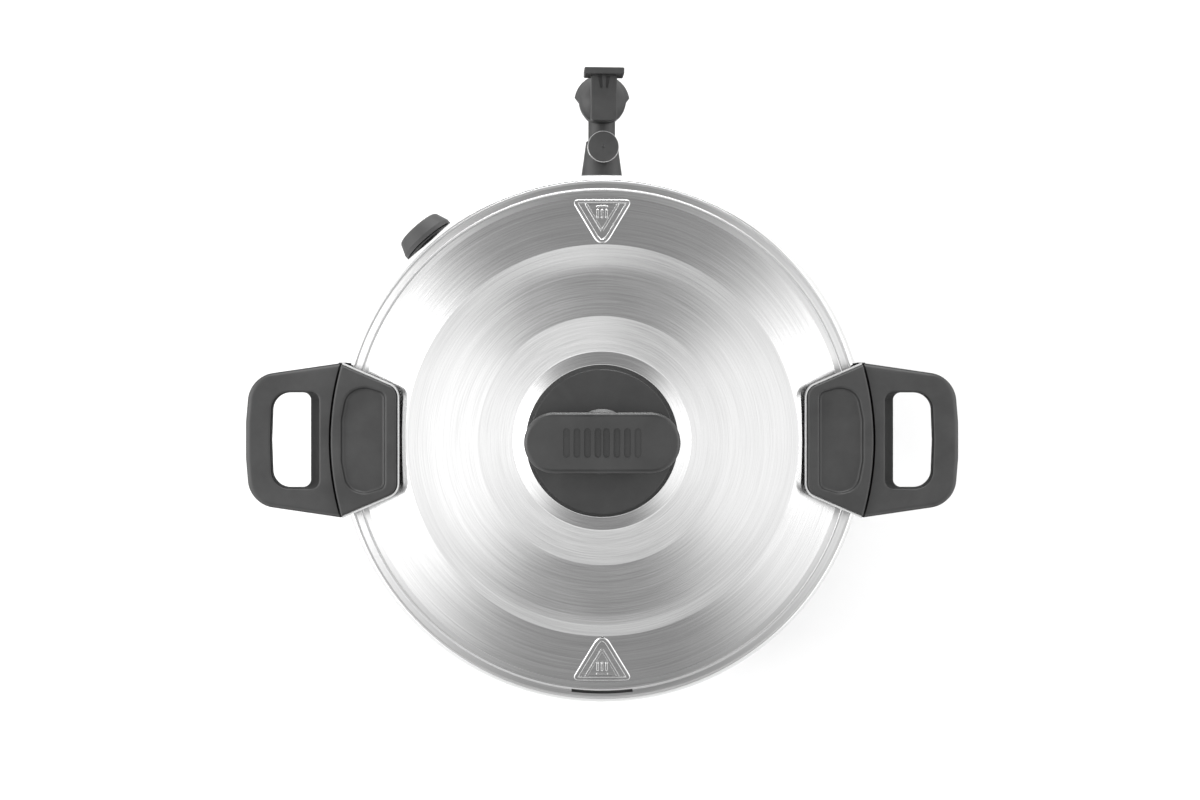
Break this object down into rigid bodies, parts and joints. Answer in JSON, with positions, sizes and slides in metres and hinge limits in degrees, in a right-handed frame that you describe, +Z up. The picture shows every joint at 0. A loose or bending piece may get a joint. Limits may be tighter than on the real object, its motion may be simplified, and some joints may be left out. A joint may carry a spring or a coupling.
{
  "type": "pressure cooker",
  "caption": "Wide stainless stovetop pressure cooker with a twist-on domed lid, side handles, a vented centre knob, a side valve and a lever drain tap.",
  "frame": {"origin": "on the vessel's axis, in the bottom face of its base, which stands on the stove", "axes": "+Z up along the vessel's axis, +X to the right-hand handle, +Y to the drain tap"},
  "size_m": [0.4812, 0.479, 0.321],
  "materials": {
    "steel": "brushed",
    "plastic": "matte",
    "silicone": "matte",
    "brass": "machined",
    "aluminium": "cast",
    "chrome": "polished"
  },
  "bodies": {
    "vessel": {"pot_shell": "steel", "pot_neck": "steel", "base_cap": "steel", "base_core": "aluminium", "pot_handle_left": "plastic", "pot_handle_right": "plastic", "handle_bracket_left": "steel", "handle_bracket_right": "steel", "handle_screws_left": "steel", "handle_screws_right": "steel", "tap_shroud": "plastic", "tap_cap": "plastic", "tap_trim": "chrome", "tap_shank": "brass", "tap_seal": "silicone", "tap_nut": "brass", "tap_body": "plastic", "tap_bonnet": "plastic", "tap_pin": "steel", "side_bush": "brass", "side_escutcheon": "plastic", "side_seal": "silicone", "side_nut": "brass"},
    "gasket": {"lid_gasket": "silicone"},
    "lid": {"lid_shell": "steel", "knob_collar": "steel", "knob_disc": "plastic", "vent_tube": "steel", "vent_washer": "silicone", "vent_nut": "steel", "grip_pad_left": "plastic", "grip_pad_right": "plastic", "grip_plate_left": "steel", "grip_plate_right": "steel", "grip_seat_left": "plastic", "grip_seat_right": "plastic", "grip_screws_left": "steel", "grip_screws_right": "steel"},
    "vent_grip": {"vent_grip": "plastic"},
    "vent_weight": {"vent_weight": "steel"},
    "tap_lever": {"tap_lever": "plastic"},
    "tap_stem": {"tap_stem": "steel", "tap_plug": "silicone", "tap_spring": "steel"},
    "side_valve": {"side_knob": "plastic", "side_spindle": "brass"}
  },
  "joints": [
    {"name": "lid_lift", "type": "slide", "parent": "vessel", "child": "gasket", "axis": [0, 0, 1], "range_m": [0, 0.12]},
    {"name": "lid_turn", "type": "hinge", "parent": "gasket", "child": "lid", "pos_m": [0, 0, 0.24], "axis": [0, 0, 1], "range_deg": [0, 28]},
    {"name": "vent_turn", "type": "hinge", "parent": "lid", "child": "vent_grip", "pos_m": [0, 0, 0.3], "axis": [0, 0, 1], "range_deg": [0, 90]},
    {"name": "vent_lift", "type": "slide", "parent": "lid", "child": "vent_weight", "axis": [0, 0, 1], "range_m": [0, 0.003]},
    {"name": "tap_lever", "type": "hinge", "parent": "vessel", "child": "tap_lever", "pos_m": [0.00154, 0.2575, 0.08146], "axis": [0.9986, 0, -0.0523], "range_deg": [0, 30]},
    {"name": "tap_stem", "type": "slide", "parent": "vessel", "child": "tap_stem", "axis": [0.0523, 0, 0.9986], "range_m": [0, 0.0059], "stiffness_N_per_m": 600, "springref_m": -0.006},
    {"name": "side_valve_turn", "type": "hinge", "parent": "vessel", "child": "side_valve", "pos_m": [-0.12243, 0.13936, 0.19], "axis": [-0.66, 0.7513, 0], "range_deg": [0, 270]}
  ],
  "couplings": [
    {"joint": "tap_lever", "follows": "tap_stem", "rad_per_m": 88}
  ]
}
